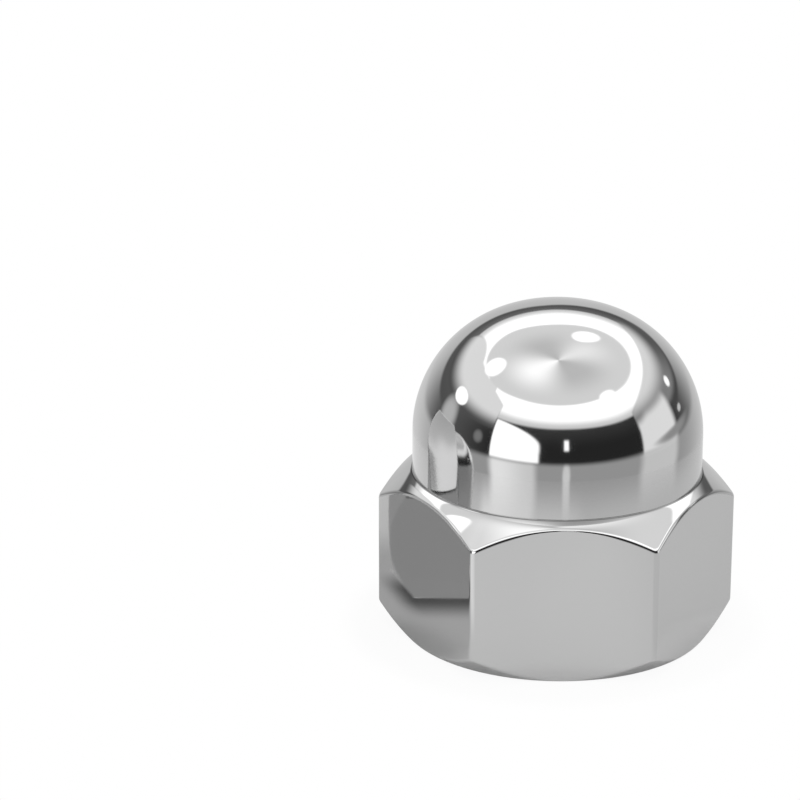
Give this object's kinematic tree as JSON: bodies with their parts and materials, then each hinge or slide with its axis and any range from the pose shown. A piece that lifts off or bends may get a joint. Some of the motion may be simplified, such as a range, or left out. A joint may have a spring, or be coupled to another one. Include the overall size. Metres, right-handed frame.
{
  "type": "cap nut",
  "caption": "Domed cap nut: a chamfered hexagon closed by a high polished dome, with a blind threaded hole in its flat underside.",
  "frame": {"origin": "centre of the bearing face, on the axis of the thread, where the nut stands on its flat underside", "axes": "+Z along the axis, from the bearing face to the top of the dome; +X towards an upright edge of the hexagon; +Y towards the middle of a flat"},
  "size_m": [0.015, 0.013, 0.014],
  "materials": {
    "polished_metal": "mirror polished, bright neutral silver"
  },
  "bodies": {
    "root": {"cap_nut": "polished_metal"}
  },
  "joints": []
}
